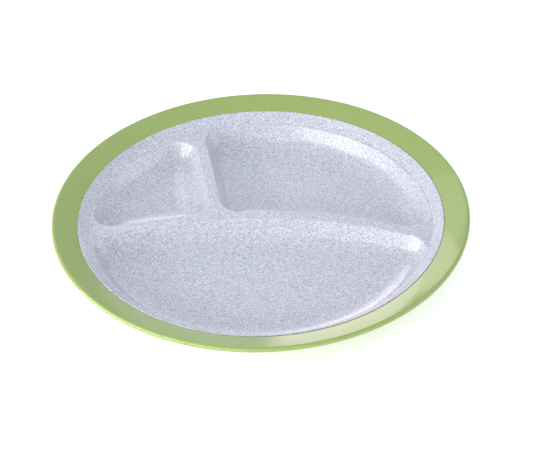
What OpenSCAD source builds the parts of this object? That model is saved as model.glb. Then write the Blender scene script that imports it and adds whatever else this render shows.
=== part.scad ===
// Round lunch plate with three compartments, moulded from melamine in two colours.
// The outer body carries the rim band, the lip, the underside and a foot under each well.
// The speckled liner is let flush into it, and forms the shoulder, the dividers and the wells,
// whose floors are dished towards their walls.
// The plate stands on its feet at z = 0, with its centre on the Z axis.
// The wide well lies in front, towards -Y, and the two small ones behind the long divider.

/* [Rim] */
// Diameter of the plate over its lip
plate_d = 250; // [230:1:290]
// Height of the plate from the table to the top of its lip
plate_h = 25; // [23:0.5:30]
// Width in plan of the coloured rim band, from the lip to the edge of the liner
band_w = 15.4; // [8:0.5:20]
// Slope of the rim band, in degrees from level
band_slope = 16; // [8:0.5:20]

/* [Walls] */
// Full thickness of the moulding, body and liner together
wall_t = 3.2; // [2.4:0.1:4]
// Thickness of the liner alone
liner_t = 1.6; // [0.8:0.1:2]

/* [Shoulder] */
// Width in plan of the shoulder that falls from the rim band to the dividers
shoulder_w = 6.4; // [4:0.5:10]
// Depth of the divider tops below the top of the lip
divider_drop = 8.6; // [6.5:0.5:10]

/* [Dividers] */
// Width of a divider between the edges of its wells
divider_w = 6.9; // [5:0.1:12]
// Radius in plan of the long divider's centre line
long_divider_r = 260; // [220:5:400]
// Distance from the plate's centre back to the middle of the long divider
long_divider_y = 7.5; // [0:0.5:14]
// Distance from the plate's centre across to the root of the short divider
short_divider_x = 26; // [10:0.5:40]
// Lean of the short divider away from straight back, in degrees
short_divider_lean = 11; // [0:0.5:20]

/* [Wells] */
// Width of the flat ledge between the foot of the shoulder and the rounded edge of a well
ledge_w = 0.3; // [0.2:0.1:3]
// Corner radius in plan of the two small wells, at their edge
small_corner_r = 13; // [11:0.5:18]
// Corner radius in plan of the wide well, at its edge
wide_corner_r = 14; // [11:0.5:24]
// Corner radius in plan of the flat floors
floor_corner_r = 1.6; // [1:0.1:3]
// Slope of the walls, in degrees from level
well_slope = 54; // [50:1:70]
// Radius of the rounded edge between divider and wall
well_edge_r = 1.2; // [0.4:0.1:1.6]
// Radius of the fillet between a wall and the dished floor
floor_fillet_r = 7; // [3:0.5:7.5]
// Slope of the dished floor where it starts from the fillet, in degrees from level
dish_slope = 18; // [8:1:22]
// Radius in section of the dished floor, which levels out to the flat floor
dish_r = 40; // [20:1:44]

/* [Foot] */
// Distance of the feet in from the edge of the flat floors
foot_inset = 3; // [1:0.5:12]
// Width of the flat face of a foot
foot_w = 3.6; // [2:0.1:6]
// Height of the feet below the floors
foot_h = 2.4; // [1.2:0.1:4]

/* [Hidden] */
$fn = 180;

// Largest gap between a facet of a well and its true curve, as a share of the plate's diameter
facet_sag_share = 0.0008;
// Steps of a rounding in section
section_steps = 4;
// Overrun of every cut
overrun = 1;

lip_r = plate_d / 2;
band_r = lip_r - band_w;
ledge_r = band_r - shoulder_w;
divider_z = plate_h - divider_drop;
floor_z = foot_h + wall_t;

// Corners of a well's section before they are rounded, as [distance in from its edge, height].
// The wall falls from the edge to the knee, and the dish from the knee to the level of the floor.
dish_lead = floor_fillet_r * tan((well_slope - dish_slope) / 2) + dish_r * tan(dish_slope / 2);
knee_z = floor_z + dish_lead * sin(dish_slope);
edge = [0, divider_z];
knee = [(divider_z - knee_z) / tan(well_slope), knee_z];
dish_end = [knee.x + dish_lead * cos(dish_slope), floor_z];

// The well takes wall_run in plan from its edge to the flat floor
well_r = ledge_r - ledge_w - well_edge_r * tan(well_slope / 2);
wall_run = dish_end.x + dish_r * tan(dish_slope / 2);
foot_r = well_r - wall_run - foot_inset;

function heading(v) = atan2(v.y, v.x);
function reversed(list) = [for (i = [len(list) - 1 : -1 : 0]) list[i]];

// The signed turn from one heading to another, the short way round
function turn(from, to) = (to - from + 540) % 360 - 180;

function arc(c, r, from, to, steps = section_steps) =
    [for (i = [0 : steps]) let (a = from + (to - from) * i / steps) c + r * [cos(a), sin(a)]];

// Section of the plate's upper face from the axis to the lip, as [radius, height].
// The lip is a half round of the full wall, tangent to the rim band.
lip_c = [lip_r - wall_t / 2, plate_h - wall_t / 2];
band_end = lip_c + wall_t / 2 * [-sin(band_slope), cos(band_slope)];
band_z = band_end.y - (band_end.x - band_r) * tan(band_slope);
shoulder_slope = heading([shoulder_w, band_z - divider_z]);
upper_face = [[0, divider_z], [ledge_r, divider_z], [band_r, band_z], band_end];

// The upper face moved down by t, square to each of its stretches
function below(t) =
    let (last = len(upper_face) - 1,
         down = [for (i = [0 : last - 1])
                    let (a = heading(upper_face[i + 1] - upper_face[i])) [sin(a), -cos(a)]])
    [for (i = [0 : last])
        let (a = down[max(i - 1, 0)], b = down[min(i, last - 1)])
        upper_face[i] + t * (a + b) / (1 + a * b)];

// Under face of the liner: it ends in an upright edge against the rim band
liner_edge = [band_r, band_z - liner_t / cos(shoulder_slope)];
liner_face = [below(liner_t)[0], below(liner_t)[1], liner_edge];

// A corner between two slopes of a well's section, moved outwards by grow square to both of them
function moved(corner, first, second, grow) =
    let (a = [-sin(first), -cos(first)], b = [-sin(second), -cos(second)])
    corner + grow * (a + b) / (1 + a * b);

// Section of a well from top_z to the flat floor, moved outwards by grow square to its own face
function well_section(grow, top_z) =
    let (edge_r = max(well_edge_r - grow, 0),
         edge_c = moved(edge, 0, well_slope, grow + edge_r),
         rounding = edge_r > 0 ? arc(edge_c, edge_r, 90, 90 - well_slope) : [edge_c],
         fillet = arc(moved(knee, well_slope, dish_slope, -floor_fillet_r), floor_fillet_r + grow,
                      270 - well_slope, 270 - dish_slope),
         dish = arc(moved(dish_end, dish_slope, 0, -dish_r), dish_r + grow, 270 - dish_slope, 270))
    concat([[rounding[0].x, top_z]], rounding, fillet, [for (i = [1 : section_steps]) dish[i]]);

// Plan of the two dividers: the long one is an arc, and the short one leans away from it
long_c = [0, long_divider_y - long_divider_r];
long_front_r = long_divider_r - divider_w / 2;
long_back_r = long_divider_r + divider_w / 2;
short_root = [-short_divider_x, long_c.y + sqrt(pow(long_divider_r, 2) - pow(short_divider_x, 2))];
short_dir = [-sin(short_divider_lean), cos(short_divider_lean)];
short_right = [cos(short_divider_lean), sin(short_divider_lean)];

// The point at distance r from the plate's centre and to_long from the long divider's centre
function meet_arcs(r, to_long, side) =
    let (y = (pow(long_c.y, 2) + pow(r, 2) - pow(to_long, 2)) / (2 * long_c.y))
    [side * sqrt(pow(r, 2) - pow(y, 2)), y];

// The far point of a line through p, along the short divider, at distance r from c
function meet_line(p, c, r) =
    let (back = (c - p) * short_dir)
    p + short_dir * (back + sqrt(pow(back, 2) - (p - c) * (p - c) + pow(r, 2)));

// A well's outline has corners of radius r, and its first arc runs along the shoulder.
// It is a round of arcs, each [centre, radius, side, first heading, turn, skip].
// The well lies inside an arc where side is 1, and outside it where side is -1.
// Corners keep their end points, which the arcs between them leave out.
function corner(c, r, from, to) = [c, r, 1, from, turn(from, to), 0];
function stretch(c, r, side, from, to) = [c, r, side, from, turn(from, to), 1];

function wide_well(r) =
    let (right = meet_arcs(well_r - r, long_front_r - r, 1),
         left = meet_arcs(well_r - r, long_front_r - r, -1))
    [stretch([0, 0], well_r, 1, heading(left), heading(right)),
     corner(right, r, heading(right), heading(right - long_c)),
     stretch(long_c, long_front_r, 1, heading(right - long_c), heading(left - long_c)),
     corner(left, r, heading(left - long_c), heading(left))];

// The small well on the right of the short divider where side is 1, and on its left where -1
function small_well(side, r) =
    let (inset = short_root + side * (divider_w / 2 + r) * short_right,
         root = meet_line(inset, long_c, long_back_r + r),
         tip = meet_line(inset, [0, 0], well_r - r),
         end = meet_arcs(well_r - r, long_back_r + r, side),
         wall = heading(-side * short_right))
    [stretch([0, 0], well_r, 1, heading(end), heading(tip)),
     corner(tip, r, heading(tip), wall),
     corner(root, r, wall, heading(long_c - root)),
     stretch(long_c, long_back_r, -1, heading(root - long_c), heading(end - long_c)),
     corner(end, r, heading(long_c - end), heading(end))];

// The outline of the wide well where side is 0, and of a small well where it is 1 or -1
function outline(side, r) = side == 0 ? wide_well(r) : small_well(side, r);

// Points round a well at a distance in from its edge, and at height z.
// Its corners get tighter on the way in, down to the corners of the flat floor.
function ring(side, inset, z) =
    let (edge_corner_r = side == 0 ? wide_corner_r : small_corner_r,
         at_edge = outline(side, edge_corner_r),
         here = outline(side, max(edge_corner_r, inset + floor_corner_r)))
    [for (k = [0 : len(here) - 1])
        let (a = here[k], whole = at_edge[k],
             steps = ceil(abs(whole[4]) / (2 * acos(1 - facet_sag_share * plate_d / whole[1]))))
        for (i = [a[5] : steps - a[5]])
            let (h = a[3] + a[4] * i / steps)
            concat(a[0] + (a[1] - a[2] * inset) * [cos(h), sin(h)], z)];

// A solid through rings of equal length, from the top one down, each counter-clockwise
module loft(rings) {
    n = len(rings[0]);
    base = n * (len(rings) - 1);
    polyhedron([for (r = rings) each r], concat(
        [[for (i = [n - 1 : -1 : 0]) i]],
        [for (k = [0 : n : base - 1], i = [0 : n - 1])
            let (j = (i + 1) % n) [k + i, k + j, k + n + j, k + n + i]],
        [concat(base + n - 1, [for (i = [0 : n - 2]) base + i])]));
}

// The three wells, grown by a wall's thickness where their backs are wanted
module wells(grow, top_z)
    for (side = [0, 1, -1])
        loft([for (p = well_section(grow, top_z))
                 let (points = ring(side, p.x, p.y)) side < 0 ? reversed(points) : points]);

// Foot under a well: it follows the outer edge of the flat floor, and ends short of its corners
module foot(side) {
    outer = outline(side, wall_run + floor_corner_r)[0];
    short = 2 * asin((foot_inset + foot_w) / foot_r / 2);
    rotate(min(outer[3], outer[3] + outer[4]) + short)
        rotate_extrude(angle = abs(outer[4]) - 2 * short)
            translate([foot_r - foot_w, 0])
                square([foot_w, floor_z - (wall_t + liner_t) / 2]);
}

// Coloured body: rim band, half-round lip, shell under the liner, and a foot under each well.
// The backs of the dividers are hollow, and the feet leave them open.
module outer_body() color("yellowgreen") {
    difference() {
        union() {
            rotate_extrude()
                polygon(concat(liner_face, [upper_face[2]],
                               arc(lip_c, wall_t / 2, 90 + band_slope, band_slope - 90, 2 * section_steps),
                               [for (i = [2 : -1 : 0]) below(wall_t)[i]]));
            wells(wall_t, divider_z - (wall_t + liner_t) / 2);
        }
        wells(liner_t, divider_z);
    }
    for (side = [0, 1, -1])
        foot(side);
}

// Speckled liner: shoulder, divider tops and wells, in one thin shell
module compartment_liner() color("lavender") difference() {
    union() {
        rotate_extrude()
            polygon(concat(reversed(liner_face), [for (i = [0 : 2]) upper_face[i]]));
        wells(liner_t, divider_z - liner_t / 2);
    }
    wells(0, divider_z + overrun);
}

outer_body();
compartment_liner();
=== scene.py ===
# Round lunch plate with three compartments: a green melamine body and a speckled melamine liner.
# Lengths are in metres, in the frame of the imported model: +Z up, with the plate's axis on Z.
import math
import bmesh
import bpy
from mathutils import Matrix, Vector


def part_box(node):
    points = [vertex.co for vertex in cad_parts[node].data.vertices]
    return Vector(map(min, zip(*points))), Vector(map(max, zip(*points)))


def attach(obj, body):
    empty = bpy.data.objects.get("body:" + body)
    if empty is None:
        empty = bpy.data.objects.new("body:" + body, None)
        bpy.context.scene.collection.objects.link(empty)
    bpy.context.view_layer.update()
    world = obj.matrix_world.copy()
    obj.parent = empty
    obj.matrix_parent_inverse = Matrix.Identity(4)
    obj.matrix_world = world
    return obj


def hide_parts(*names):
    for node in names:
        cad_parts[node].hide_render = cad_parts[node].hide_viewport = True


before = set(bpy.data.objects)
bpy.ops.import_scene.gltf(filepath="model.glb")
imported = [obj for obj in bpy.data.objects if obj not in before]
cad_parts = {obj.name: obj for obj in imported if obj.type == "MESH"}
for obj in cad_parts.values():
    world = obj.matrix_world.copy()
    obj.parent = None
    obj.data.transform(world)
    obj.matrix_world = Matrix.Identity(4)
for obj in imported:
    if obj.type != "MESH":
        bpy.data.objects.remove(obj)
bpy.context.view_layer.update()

# Outer body
# The green shell of the plate: rim band, half-round lip, underside and feet, all in one piece.
# It is melamine moulding powder, pressed and cured in a hot die with an even wall all over.
MM = 0.001
lip_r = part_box("outer_body")[1].x
plate_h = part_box("outer_body")[1].z
wall_t = 3.2 * MM
liner_t = 1.6 * MM
band_slope = math.radians(16)
band_w = 15.4 * MM
band_r = lip_r - band_w
shoulder_w = 6.4 * MM
ledge_r = band_r - shoulder_w
divider_drop = 8.6 * MM
divider_z = plate_h - divider_drop
foot_h = 2.4 * MM
floor_z = foot_h + wall_t
ledge_w = 0.3 * MM
well_slope = math.radians(54)
well_lead = math.tan(well_slope / 2)
well_edge_r = 1.2 * MM
floor_fillet_r = 7 * MM
dish_slope = math.radians(18)
dish_r = 40 * MM
wide_corner_r = 14 * MM
small_corner_r = 13 * MM
floor_corner_r = 1.6 * MM
crease_r = 3 * MM
# Roundings of the band's edge at the seam and of the fold at the shoulder's foot, above and below
band_edge_r = 0.25 * MM
fold_r = 0.4 * MM
fold_run = 0.2 * MM
# A strip this wide stays flat beside each rounding, so that the light on the flats stays even
flat_w = 0.06 * MM
# Length of the chords that a well's outline is drawn with
chord = 1.2 * MM
# Points closer than this are one point
weld = 0.001 * MM
# Steps of each rounding of a well's section, where it shows and where the other shell hides it
seen_steps, hidden_steps = 10, 4
# Steps of the half-round lip in section, and of the whole rim in plan
lip_steps, rim_steps = 20, 360
# Faces that meet at more than this stay sharp
sharp_angle = math.radians(38)


def rounded(corners, steps=8):
    """Points of a section through corners (x, z, radius), each corner rounded to its radius."""
    line = []
    for i, (x, z, r) in enumerate(corners):
        corner = Vector((x, z))
        if r == 0:
            line.append(corner)
            continue
        back = (Vector(corners[i - 1][:2]) - corner).normalized()
        on = (Vector(corners[(i + 1) % len(corners)][:2]) - corner).normalized()
        half = back.angle(on) / 2
        centre = corner + (back + on).normalized() * (r / math.sin(half))
        first = (corner + back * (r / math.tan(half)) - centre).normalized()
        last = (corner + on * (r / math.tan(half)) - centre).normalized()
        line += [centre + first.slerp(last, k / steps) * r for k in range(steps + 1)]
    return [p for i, p in enumerate(line) if i == 0 or (p - line[i - 1]).length > weld]


# Section of the plate's upper face, as (radius, height): ledge, shoulder, rim band
lip_c = Vector((lip_r - wall_t / 2, plate_h - wall_t / 2))
band_end = lip_c + wall_t / 2 * Vector((-math.sin(band_slope), math.cos(band_slope)))
band_z = band_end.y - (band_end.x - band_r) * math.tan(band_slope)
shoulder_slope = math.atan2(band_z - divider_z, band_r - ledge_r)


def under(t):
    """The foot and the crest of the shoulder, moved down by t square to the faces beside them."""
    foot = Vector((ledge_r + t * math.tan(shoulder_slope / 2), divider_z - t))
    lean = (shoulder_slope + band_slope) / 2
    crest = Vector((band_r, band_z)) + t / math.cos((shoulder_slope - band_slope) / 2) * Vector(
        (math.sin(lean), -math.cos(lean)))
    return foot, crest


# Corners of a well's section, as (distance in from its edge, height), before they are rounded:
# the wall falls from the edge to the knee, and the dished floor from the knee to the flat floor
dish_lead = floor_fillet_r * math.tan((well_slope - dish_slope) / 2) + dish_r * math.tan(dish_slope / 2)
well_edge = Vector((0, divider_z))
knee_z = floor_z + dish_lead * math.sin(dish_slope)
knee = Vector(((divider_z - knee_z) / math.tan(well_slope), knee_z))
dish_end = Vector((knee.x + dish_lead * math.cos(dish_slope), floor_z))
well_r = ledge_r - ledge_w - well_edge_r * well_lead
wall_run = dish_end.x + dish_r * math.tan(dish_slope / 2)


def moved(corner, first, second, grow):
    """A corner between two slopes of a well's section, moved outwards by grow square to both."""
    a = Vector((-math.sin(first), -math.cos(first)))
    b = Vector((-math.sin(second), -math.cos(second)))
    return corner + (a + b) * (grow / (1 + a.dot(b)))


def well_section(grow, steps):
    """Section of a well from its edge to the flat floor, moved outwards by grow."""
    edge = moved(well_edge, 0, well_slope, grow)
    edge_r = max(well_edge_r - grow, 0)
    return rounded([(edge.x - edge_r * well_lead - flat_w, edge.y, 0), (*edge, edge_r),
                    (*moved(knee, well_slope, dish_slope, grow), floor_fillet_r + grow),
                    (*moved(dish_end, dish_slope, 0, grow), dish_r + grow),
                    (wall_run + flat_w, floor_z - grow, 0)], steps)


def heading(v):
    return math.atan2(v.y, v.x)


def short_turn(first, last):
    return (last - first + math.pi) % (2 * math.pi) - math.pi


# Plan of the wells: the long divider is an arc, and the short one leans away from it
axis = Vector((0, 0))
divider_w = 6.9 * MM
long_divider_r = 260 * MM
long_divider_y = 7.5 * MM
long_c = Vector((0, long_divider_y - long_divider_r))
long_front_r = long_divider_r - divider_w / 2
long_back_r = long_divider_r + divider_w / 2
short_lean = math.radians(11)
short_dir = Vector((-math.sin(short_lean), math.cos(short_lean)))
short_right = Vector((math.cos(short_lean), math.sin(short_lean)))
short_x = -26 * MM
short_root = Vector((short_x, long_c.y + math.sqrt(long_divider_r ** 2 - short_x ** 2)))


def meet_arcs(r, to_long, side):
    """The point at distance r from the plate's axis and to_long from the long divider's centre."""
    y = (long_c.y ** 2 + r ** 2 - to_long ** 2) / (2 * long_c.y)
    return Vector((side * math.sqrt(r ** 2 - y ** 2), y))


def meet_line(p, centre, r):
    """The far point of a line through p, along the short divider, at distance r from a centre."""
    back = (centre - p).dot(short_dir)
    return p + short_dir * (back + math.sqrt(back ** 2 - (p - centre).length_squared + r ** 2))


def wide_well(r):
    """Arcs round the wide well, with corners of radius r: centre, radius, side and two headings.
    The well lies inside an arc where side is 1, and outside it where side is -1."""
    right = meet_arcs(well_r - r, long_front_r - r, 1)
    left = meet_arcs(well_r - r, long_front_r - r, -1)
    return [(axis, well_r, 1, heading(left), heading(right)),
            (right, r, 1, heading(right), heading(right - long_c)),
            (long_c, long_front_r, 1, heading(right - long_c), heading(left - long_c)),
            (left, r, 1, heading(left - long_c), heading(left))]


def small_well(side, r):
    """Arcs round a small well, in the same way: on the right where side is 1, on the left where -1."""
    line = short_root + side * (divider_w / 2 + r) * short_right
    root = meet_line(line, long_c, long_back_r + r)
    tip = meet_line(line, axis, well_r - r)
    end = meet_arcs(well_r - r, long_back_r + r, side)
    wall = heading(-side * short_right)
    return [(axis, well_r, 1, heading(end), heading(tip)),
            (tip, r, 1, heading(tip), wall), (tip, r, 1, wall, wall),
            (root, r, 1, wall, heading(long_c - root)),
            (long_c, long_back_r, -1, heading(root - long_c), heading(end - long_c)),
            (end, r, 1, heading(long_c - end), heading(end))]


wells = [(wide_well, wide_corner_r), (lambda r: small_well(1, r), small_corner_r),
         (lambda r: small_well(-1, r), small_corner_r)]


def ring(well, corner_r, inset):
    """Points round a well at a distance in from its edge; its corners get tighter on the way in."""
    points = []
    for at_edge, here in zip(well(corner_r), well(max(corner_r, inset + floor_corner_r))):
        n = max(math.ceil(abs(short_turn(*at_edge[3:])) * at_edge[1] / chord), 1)
        centre, r, side, first, last = here
        for i in range(n):
            h = first + short_turn(first, last) * i / n
            points.append(centre + (r - side * inset) * Vector((math.cos(h), math.sin(h))))
    return points


# Helper objects that the node trees read; they are removed when the pieces are made
patterns = []


def lofted(name, grow, steps):
    """An open mesh of the wells' walls and dished floors, moved outwards by grow, for a node tree."""
    points, faces = [], []
    for well, corner_r in wells:
        rings = [[(p.x, p.y, z) for p in ring(well, corner_r, inset)]
                 for inset, z in well_section(grow, steps)]
        n = len(rings[0])
        for base in range(len(points), len(points) + n * (len(rings) - 1), n):
            faces += [(base + i, base + (i + 1) % n, base + n + (i + 1) % n, base + n + i)
                      for i in range(n)]
        points += [p for r in rings for p in r]
    mesh = bpy.data.meshes.new(name)
    mesh.from_pydata(points, [], faces)
    patterns.append(bpy.data.objects.new(name, mesh))
    bpy.context.scene.collection.objects.link(patterns[-1])
    return patterns[-1]


def drawn(name, lines, closed=False):
    """A flat curve object through each line of points, for a node tree to read."""
    data = bpy.data.curves.new(name, "CURVE")
    data.dimensions = "3D"
    for line in lines:
        spline = data.splines.new("POLY")
        spline.points.add(len(line) - 1)
        for point, p in zip(spline.points, line):
            point.co = (p.x, p.y, 0, 1)
        spline.use_cyclic_u = closed
    patterns.append(bpy.data.objects.new(name, data))
    bpy.context.scene.collection.objects.link(patterns[-1])
    return patterns[-1]


def add(tree, kind, inputs=None, **settings):
    """Adds a node: settings are its own, and inputs are values or sockets by name or number."""
    node = tree.nodes.new(kind)
    for key, value in settings.items():
        setattr(node, key, value)
    for key, value in (inputs or {}).items():
        if isinstance(value, bpy.types.NodeSocket):
            tree.links.new(value, node.inputs[key])
        else:
            node.inputs[key].default_value = value
    return node


def pressing_tree():
    """A pressed shell: the walls of the wells, a rim section swept round the axis and a foot section
    round the feet, with flat fills between them at the levels of dividers, floors and feet."""
    tree = bpy.data.node_groups.new("pressing", "GeometryNodeTree")
    levels = ("Upper divider level", "Upper floor level", "Lower divider level", "Lower floor level",
              "Foot level")
    sockets = [("Upper walls", "Object"), ("Lower walls", "Object"), ("Rim section", "Object"),
               ("Rim radius", "Float"), ("Rim steps", "Int"), ("Foot outlines", "Object"),
               ("Foot section", "Object"), *((name, "Float") for name in levels), ("Finish", "Material")]
    for name, kind in sockets:
        tree.interface.new_socket(name, in_out="INPUT", socket_type="NodeSocket" + kind)
    tree.interface.new_socket("Shell", in_out="OUTPUT", socket_type="NodeSocketGeometry")
    given = add(tree, "NodeGroupInput").outputs

    feet_round = add(tree, "GeometryNodeObjectInfo", {"Object": given["Foot outlines"]})
    axis_round = add(tree, "GeometryNodeCurvePrimitiveCircle",
                     {"Resolution": given["Rim steps"], "Radius": given["Rim radius"]})
    swept = add(tree, "GeometryNodeJoinGeometry")
    for name in ("Upper walls", "Lower walls"):
        walls = add(tree, "GeometryNodeObjectInfo", {"Object": given[name]})
        tree.links.new(walls.outputs["Geometry"], swept.inputs["Geometry"])
    for path, section in ((axis_round.outputs["Curve"], "Rim section"),
                          (feet_round.outputs["Geometry"], "Foot section")):
        upright = add(tree, "GeometryNodeSetCurveNormal", {"Curve": path}, mode="Z_UP")
        profile = add(tree, "GeometryNodeObjectInfo", {"Object": given[section]})
        sweep = add(tree, "GeometryNodeCurveToMesh", {"Curve": upright.outputs["Curve"],
                                                      "Profile Curve": profile.outputs["Geometry"]})
        tree.links.new(sweep.outputs["Mesh"], swept.inputs["Geometry"])

    # Each level is filled inside the open edges that lie on it
    open_edge = add(tree, "FunctionNodeCompare",
                    {2: add(tree, "GeometryNodeInputMeshEdgeNeighbors").outputs["Face Count"], 3: 1},
                    data_type="INT", operation="EQUAL")
    height = add(tree, "ShaderNodeSeparateXYZ", {0: add(tree, "GeometryNodeInputPosition").outputs[0]})
    whole = add(tree, "GeometryNodeJoinGeometry", {"Geometry": swept.outputs[0]})
    for name in levels:
        there = add(tree, "FunctionNodeCompare", {0: height.outputs["Z"], 1: given[name], "Epsilon": weld},
                    data_type="FLOAT", operation="EQUAL")
        both = add(tree, "FunctionNodeBooleanMath",
                   {0: open_edge.outputs["Result"], 1: there.outputs["Result"]}, operation="AND")
        loops = add(tree, "GeometryNodeMeshToCurve",
                    {"Mesh": swept.outputs[0], "Selection": both.outputs[0]})
        fill = add(tree, "GeometryNodeFillCurve", {"Curve": loops.outputs[0]})
        lift = add(tree, "ShaderNodeCombineXYZ", {"Z": given[name]})
        lifted = add(tree, "GeometryNodeTransform",
                     {"Geometry": fill.outputs[0], "Translation": lift.outputs[0]})
        tree.links.new(lifted.outputs[0], whole.inputs["Geometry"])
    welded = add(tree, "GeometryNodeMergeByDistance", {"Geometry": whole.outputs[0], "Distance": weld})
    smooth = add(tree, "GeometryNodeSetShadeSmooth", {"Geometry": welded.outputs[0]})
    real = add(tree, "GeometryNodeRealizeInstances", {"Geometry": smooth.outputs[0]})
    coloured = add(tree, "GeometryNodeSetMaterial",
                   {"Geometry": real.outputs[0], "Material": given["Finish"]})
    add(tree, "NodeGroupOutput", {0: coloured.outputs[0]})
    return tree


def made(name, tree, values):
    """The plain mesh object that a node tree gives with these input values."""
    piece = bpy.data.objects.new(name, bpy.data.meshes.new(name))
    modifier = piece.modifiers.new(tree.name, "NODES")
    modifier.node_group = tree
    for item in tree.interface.items_tree:
        if item.in_out == "INPUT" and item.name in values:
            modifier[item.identifier] = values[item.name]
    bpy.context.scene.collection.objects.link(piece)
    mesh = bpy.data.meshes.new_from_object(piece.evaluated_get(bpy.context.evaluated_depsgraph_get()))
    piece.modifiers.clear()
    piece.data = mesh
    mesh.name = name
    bm = bmesh.new()
    bm.from_mesh(mesh)
    bmesh.ops.recalc_face_normals(bm, faces=bm.faces)
    bm.to_mesh(mesh)
    bm.free()
    mesh.set_sharp_from_angle(angle=sharp_angle)
    return piece


pressing = pressing_tree()


def rim_profile(name, points):
    """A rim section as the sweep wants it: x outwards from the lip's radius, and y downwards."""
    return drawn(name, [[Vector((p.x - lip_r, -p.y)) for p in points]])


# Liner and band meet on the crest of the shoulder, where the liner's rounded edge stands a little
# proud of the band and leaves a fine groove beside it
seam = Vector((band_r, band_z))
seam_foot_z = band_z - liner_t / math.cos(shoulder_slope)
bed_foot = under(liner_t)[0]
bed = [bed_foot - Vector((flat_w, 0)), bed_foot, Vector((band_r, seam_foot_z))]
band_edge = rounded([(band_r, seam_foot_z, 0), (*seam, band_edge_r), (*band_end, 0)])[1:-1]
back_foot, back_crest = under(wall_t)
lip = [lip_c + wall_t / 2 * Vector((math.cos(a), math.sin(a))) for a in
       [band_slope + math.pi * (0.5 - i / lip_steps) for i in range(lip_steps + 1)]]
back = rounded([(*lip[-1], 0), (*back_crest, crease_r + wall_t), (*back_foot, fold_r),
                (back_foot.x - fold_run, back_foot.y, 0)])

# Each foot lies under the outer edge of a floor, clear of the floor's corners, and is rounded
foot_w = 3.6 * MM
foot_clear = 3 * MM
foot_short = foot_clear + foot_w
foot_r = well_r - wall_run - foot_clear
foot_corner_r = 1.4 * MM
foot_round = 0.5 * MM
foot_section = rounded([(foot_round + flat_w, floor_z - wall_t, 0), (0, floor_z - wall_t, foot_round),
                        (0, 0, foot_round), (-foot_round - flat_w, 0, 0)])


def foot_outline(first, last):
    """A foot in plan: a strip with rounded corners, bent round the plate's axis."""
    turn = short_turn(first, last)
    start, end = first if turn > 0 else last, abs(turn) * foot_r - foot_short
    strip = rounded([(x, r, foot_corner_r) for x, r in
                     ((foot_short, foot_r), (end, foot_r), (end, foot_r - foot_w),
                      (foot_short, foot_r - foot_w))])
    points = []
    for a, b in zip(strip, strip[1:] + strip[:1]):
        n = math.ceil((b - a).length / chord)
        for p in [a.lerp(b, i / n) for i in range(n)]:
            h = start + p.x / foot_r
            points.append(p.y * Vector((math.cos(h), math.sin(h))))
    return points


def linear(hex_colour):
    """The linear colour of an sRGB hex value."""
    parts = [int(hex_colour[i:i + 2], 16) / 255 for i in (1, 3, 5)]
    return [c / 12.92 if c <= 0.04045 else ((c + 0.055) / 1.055) ** 2.4 for c in parts] + [1]


def green_melamine():
    """Pressed melamine, coloured through: the hot die leaves it glossy with a faint waviness."""
    material = bpy.data.materials.new("gloss_green_melamine")
    material.use_nodes = True
    tree = material.node_tree
    tree.nodes.clear()
    where = add(tree, "ShaderNodeTexCoord").outputs["Object"]
    # Slow drift of the colour where the powder flowed, 30 mm across, and the powder's own grain
    flow = add(tree, "ShaderNodeTexNoise", {"Vector": where, "Scale": 1 / (30 * MM), "Detail": 2})
    body_colour = add(tree, "ShaderNodeMix", {"Factor": flow.outputs["Fac"], "A": linear("#80924A"),
                                              "B": linear("#86954E")}, data_type="RGBA")
    grain = add(tree, "ShaderNodeTexNoise", {"Vector": where, "Scale": 1 / (0.9 * MM), "Detail": 2})
    shade = add(tree, "ShaderNodeMapRange", {"Value": grain.outputs["Fac"], "From Min": 0.3, "From Max": 0.7,
                                             "To Min": 0.94, "To Max": 1.06})
    colour = add(tree, "ShaderNodeVectorMath", {0: body_colour.outputs["Result"], 1: shade.outputs["Result"]},
                 operation="MULTIPLY")
    # Fine wear from stacking and washing makes the gloss uneven, in patches of 8 mm
    wear = add(tree, "ShaderNodeTexNoise", {"Vector": where, "Scale": 1 / (8 * MM), "Detail": 4})
    rough = add(tree, "ShaderNodeMapRange", {"Value": wear.outputs["Fac"], "From Min": 0.3, "From Max": 0.7,
                                             "To Min": 0.07, "To Max": 0.11})
    # Buffing of the edge leaves fine marks round the rim, 1.5 mm apart and long along it
    flat = add(tree, "ShaderNodeVectorMath", {0: where, 1: (1, 1, 0)}, operation="MULTIPLY")
    radius = add(tree, "ShaderNodeVectorMath", {0: flat.outputs[0]}, operation="LENGTH")
    along = add(tree, "ShaderNodeVectorMath", {0: flat.outputs[0], "Scale": 0.03}, operation="SCALE")
    place = add(tree, "ShaderNodeSeparateXYZ", {0: along.outputs[0]})
    marks_at = add(tree, "ShaderNodeCombineXYZ", {"X": place.outputs["X"], "Y": place.outputs["Y"],
                                                  "Z": radius.outputs["Value"]})
    marks = add(tree, "ShaderNodeTexNoise", {"Vector": marks_at.outputs[0], "Scale": 1 / (1.5 * MM),
                                             "Detail": 2})
    bump = add(tree, "ShaderNodeBump", {"Height": marks.outputs["Fac"], "Strength": 0.5,
                                        "Distance": 0.02 * MM})
    shader = add(tree, "ShaderNodeBsdfPrincipled",
                 {"Base Color": colour.outputs[0], "Roughness": rough.outputs["Result"], "IOR": 1.58,
                  "Normal": bump.outputs[0]})
    add(tree, "ShaderNodeOutputMaterial", {"Surface": shader.outputs[0]})
    return material


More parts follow.
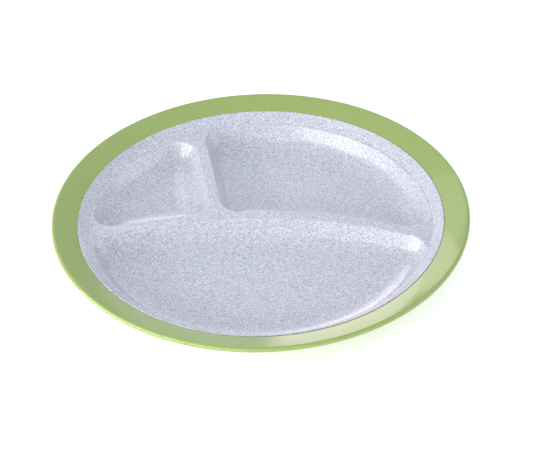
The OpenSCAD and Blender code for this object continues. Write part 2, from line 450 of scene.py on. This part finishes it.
body_values = {
    "Rim radius": lip_r, "Rim steps": rim_steps, "Finish": green_melamine(),
    "Upper walls": lofted("bed_walls", liner_t, hidden_steps),
    "Lower walls": lofted("back_walls", wall_t, seen_steps),
    "Rim section": rim_profile("body_rim", bed + band_edge + lip + back[1:]),
    "Upper divider level": divider_z - liner_t, "Upper floor level": floor_z - liner_t,
    "Lower divider level": divider_z - wall_t, "Lower floor level": floor_z - wall_t, "Foot level": 0,
    "Foot outlines": drawn("foot_outlines", [foot_outline(*well(wall_run + floor_corner_r)[0][3:])
                                              for well, corner_r in wells], closed=True),
    "Foot section": drawn("foot_section", [[Vector((p.x, -p.y)) for p in foot_section]]),
}
plate_body = made("plate_body", pressing, body_values)
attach(plate_body, "root")
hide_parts("outer_body")

# Compartment liner
# The speckled face of the plate: shoulder, divider tops and wells in one thin shell.
# It is a second charge of melamine powder, with coloured flecks in it, cured on to the body.
# Its edge rises above the rim band, and the rounding brings that down to about 0.4 mm.
liner_edge_rise = 0.75 * MM
liner_edge_r = 0.3 * MM


def speckled_melamine():
    """Pressed melamine with flecks in it: pale blue-grey, glossy, with fine dark and white specks."""
    material = bpy.data.materials.new("gloss_speckled_melamine")
    material.use_nodes = True
    tree = material.node_tree
    tree.nodes.clear()
    where = add(tree, "ShaderNodeTexCoord").outputs["Object"]
    # The real flecks are about 0.3 mm; they are drawn 0.45 mm across so that they show
    flecks = add(tree, "ShaderNodeTexVoronoi", {"Vector": where, "Scale": 1 / (0.45 * MM)})
    pick = add(tree, "ShaderNodeSeparateColor", {0: flecks.outputs["Color"]})
    shades = add(tree, "ShaderNodeValToRGB", {"Fac": pick.outputs[0]})
    stops = shades.color_ramp.elements
    stops[0].color, stops[1].color = linear("#7C7D90"), linear("#CFCDD2")
    for position, colour in ((0.2, "#9496A0"), (0.5, "#A8A8AF"), (0.8, "#B5B3B9")):
        stops.new(position).color = linear(colour)
    # Slow drift between blue and violet, 14 mm across
    flow = add(tree, "ShaderNodeTexNoise", {"Vector": where, "Scale": 1 / (14 * MM), "Detail": 3})
    drift = add(tree, "ShaderNodeMapRange", {"Value": flow.outputs["Fac"], "From Min": 0.35, "From Max": 0.65,
                                             "To Min": 0.48, "To Max": 0.53})
    tinted = add(tree, "ShaderNodeHueSaturation", {"Hue": drift.outputs["Result"],
                                                   "Color": shades.outputs["Color"]})
    # Gloss that is uneven in patches of 8 mm, under a faint waviness 3 mm across
    wear = add(tree, "ShaderNodeTexNoise", {"Vector": where, "Scale": 1 / (8 * MM), "Detail": 4})
    rough = add(tree, "ShaderNodeMapRange", {"Value": wear.outputs["Fac"], "From Min": 0.3, "From Max": 0.7,
                                             "To Min": 0.28, "To Max": 0.36})
    waves = add(tree, "ShaderNodeTexNoise", {"Vector": where, "Scale": 1 / (3 * MM), "Detail": 1})
    bump = add(tree, "ShaderNodeBump", {"Height": waves.outputs["Fac"], "Strength": 0.1,
                                        "Distance": 0.02 * MM})
    shader = add(tree, "ShaderNodeBsdfPrincipled",
                 {"Base Color": tinted.outputs["Color"], "Roughness": rough.outputs["Result"], "IOR": 1.58,
                  "Normal": bump.outputs[0], "Coat Weight": 1, "Coat Roughness": 0.14, "Coat IOR": 1.58})
    add(tree, "ShaderNodeOutputMaterial", {"Surface": shader.outputs[0]})
    return material


shoulder = rounded([(band_r, seam_foot_z, 0), (band_r, band_z + liner_edge_rise, liner_edge_r),
                    (ledge_r, divider_z, fold_r), (ledge_r - fold_run, divider_z, 0)])
liner_values = {
    "Rim radius": lip_r, "Rim steps": rim_steps, "Finish": speckled_melamine(),
    "Upper walls": lofted("well_walls", 0, seen_steps),
    "Lower walls": lofted("liner_back_walls", liner_t, hidden_steps),
    "Rim section": rim_profile("liner_rim", bed + shoulder[1:]),
    "Upper divider level": divider_z, "Upper floor level": floor_z,
    "Lower divider level": divider_z - liner_t, "Lower floor level": floor_z - liner_t,
}
plate_liner = made("plate_liner", pressing, liner_values)
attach(plate_liner, "root")
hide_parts("compartment_liner")
for pattern in patterns:
    bpy.data.objects.remove(pattern)

# Floor, light and camera
# A white table that glows softly, under soft studio light: strips and boxes at the left and the front,
# panels behind and at the right, an even pale sky, and a long lens that looks down on the plate.
table_reach = 3
floor_mesh = bpy.data.meshes.new("table")
floor_mesh.from_pydata([(x * table_reach, y * table_reach, 0) for x, y in
                        ((-1, -1), (1, -1), (1, 1), (-1, 1))], [], [(0, 1, 2, 3)])
table = bpy.data.objects.new("table", floor_mesh)
bpy.context.scene.collection.objects.link(table)
table_white = bpy.data.materials.new("matt_white_table")
table_white.use_nodes = True
table_look = table_white.node_tree.nodes["Principled BSDF"].inputs
table_look["Base Color"].default_value = linear("#F4F4F3")
table_look["Roughness"].default_value = 0.9
table_look["Emission Color"].default_value = linear("#FFFFFF")
table_look["Emission Strength"].default_value = 0.35
floor_mesh.materials.append(table_white)

world = bpy.data.worlds.new("studio")
world.use_nodes = True
world.node_tree.nodes["Background"].inputs["Color"].default_value = linear("#EAF2FF")
world.node_tree.nodes["Background"].inputs["Strength"].default_value = 1.1
bpy.context.scene.world = world
bpy.context.scene.view_settings.view_transform = "Standard"


def soft_box(name, azimuth, elevation, distance, width, height, glow, colour):
    """A soft box that faces the plate: its direction in degrees, seen from the plate, with the azimuth
    counted from +X, then its distance and size in metres, the radiance of its face and its colour."""
    light = bpy.data.lights.new(name, "AREA")
    light.shape = "RECTANGLE"
    light.size, light.size_y = width, height
    light.color = linear(colour)[:3]
    light.energy = glow * math.pi * width * height
    box = bpy.data.objects.new(name, light)
    away = Matrix.Rotation(math.radians(azimuth), 3, "Z") @ Vector(
        (math.cos(math.radians(elevation)), 0, math.sin(math.radians(elevation))))
    box.location = away * distance
    box.rotation_euler = away.to_track_quat("Z", "Y").to_euler()
    bpy.context.scene.collection.objects.link(box)


key_white, rose_white, pale_rose, plain_white = "#FFFFFB", "#FFE7F1", "#FFEDF4", "#FFFFFF"
soft_box("low_strip_left", 190, 14, 1.1, 0.55, 0.23, 15, key_white)
soft_box("low_strip_front_left", 220, 15, 1.1, 0.59, 0.23, 9.6, key_white)
soft_box("low_strip_front", 252, 13, 1.1, 0.55, 0.39, 5.2, key_white)
soft_box("tall_box_left", 217, 29.5, 1.1, 0.72, 0.29, 2.4, key_white)
soft_box("high_box_left", 217, 46, 1.1, 0.72, 0.31, 2, key_white)
soft_box("panel_behind_low", 99.25, 9.5, 3, 0.64, 1, 2.6, rose_white)
soft_box("panel_behind", 104.3, 24, 3, 0.58, 0.48, 1.8, rose_white)
soft_box("panel_behind_high", 109.5, 35.5, 3, 0.56, 0.74, 0.75, pale_rose)
soft_box("panel_behind_right", 80.5, 12, 1.5, 0.61, 0.42, 0.4, plain_white)
soft_box("panel_right", 4, 25, 1.5, 0.98, 0.92, 0.9, plain_white)
soft_box("low_box_right", 322, 15, 1.5, 0.42, 0.37, 3, plain_white)

# The camera is fitted to the outlines in a frame of 540 by 450 pixels.
# The target, just below the lip, lies off the middle of the frame by these pixels, right and up.
frame_w = 540
focal_px = 2089.3
off_x, off_y = -9.43, 11.82
target = Vector((0, 0, 23.4 * MM))
stand_off = 1.25
azimuth, elevation, roll = math.radians(2.82), math.radians(37.6), math.radians(-1.696)
forward = Vector((-math.sin(azimuth) * math.cos(elevation), math.cos(azimuth) * math.cos(elevation),
                  -math.sin(elevation)))
right = Vector((math.cos(azimuth), math.sin(azimuth), 0))
up = right.cross(forward)
across = math.cos(roll) * right + math.sin(roll) * up
upward = math.cos(roll) * up - math.sin(roll) * right
aim = (forward - (off_x * across + off_y * upward) / focal_px).normalized()
across = (across - across.dot(aim) * aim).normalized()
lens = bpy.data.cameras.new("camera")
lens.sensor_width = 36
lens.lens = focal_px / frame_w * lens.sensor_width
camera = bpy.data.objects.new("camera", lens)
turned = Matrix((across, across.cross(aim), -aim)).transposed()
camera.matrix_world = Matrix.LocRotScale(target - stand_off * forward, turned, None)
bpy.context.scene.collection.objects.link(camera)
bpy.context.scene.camera = camera
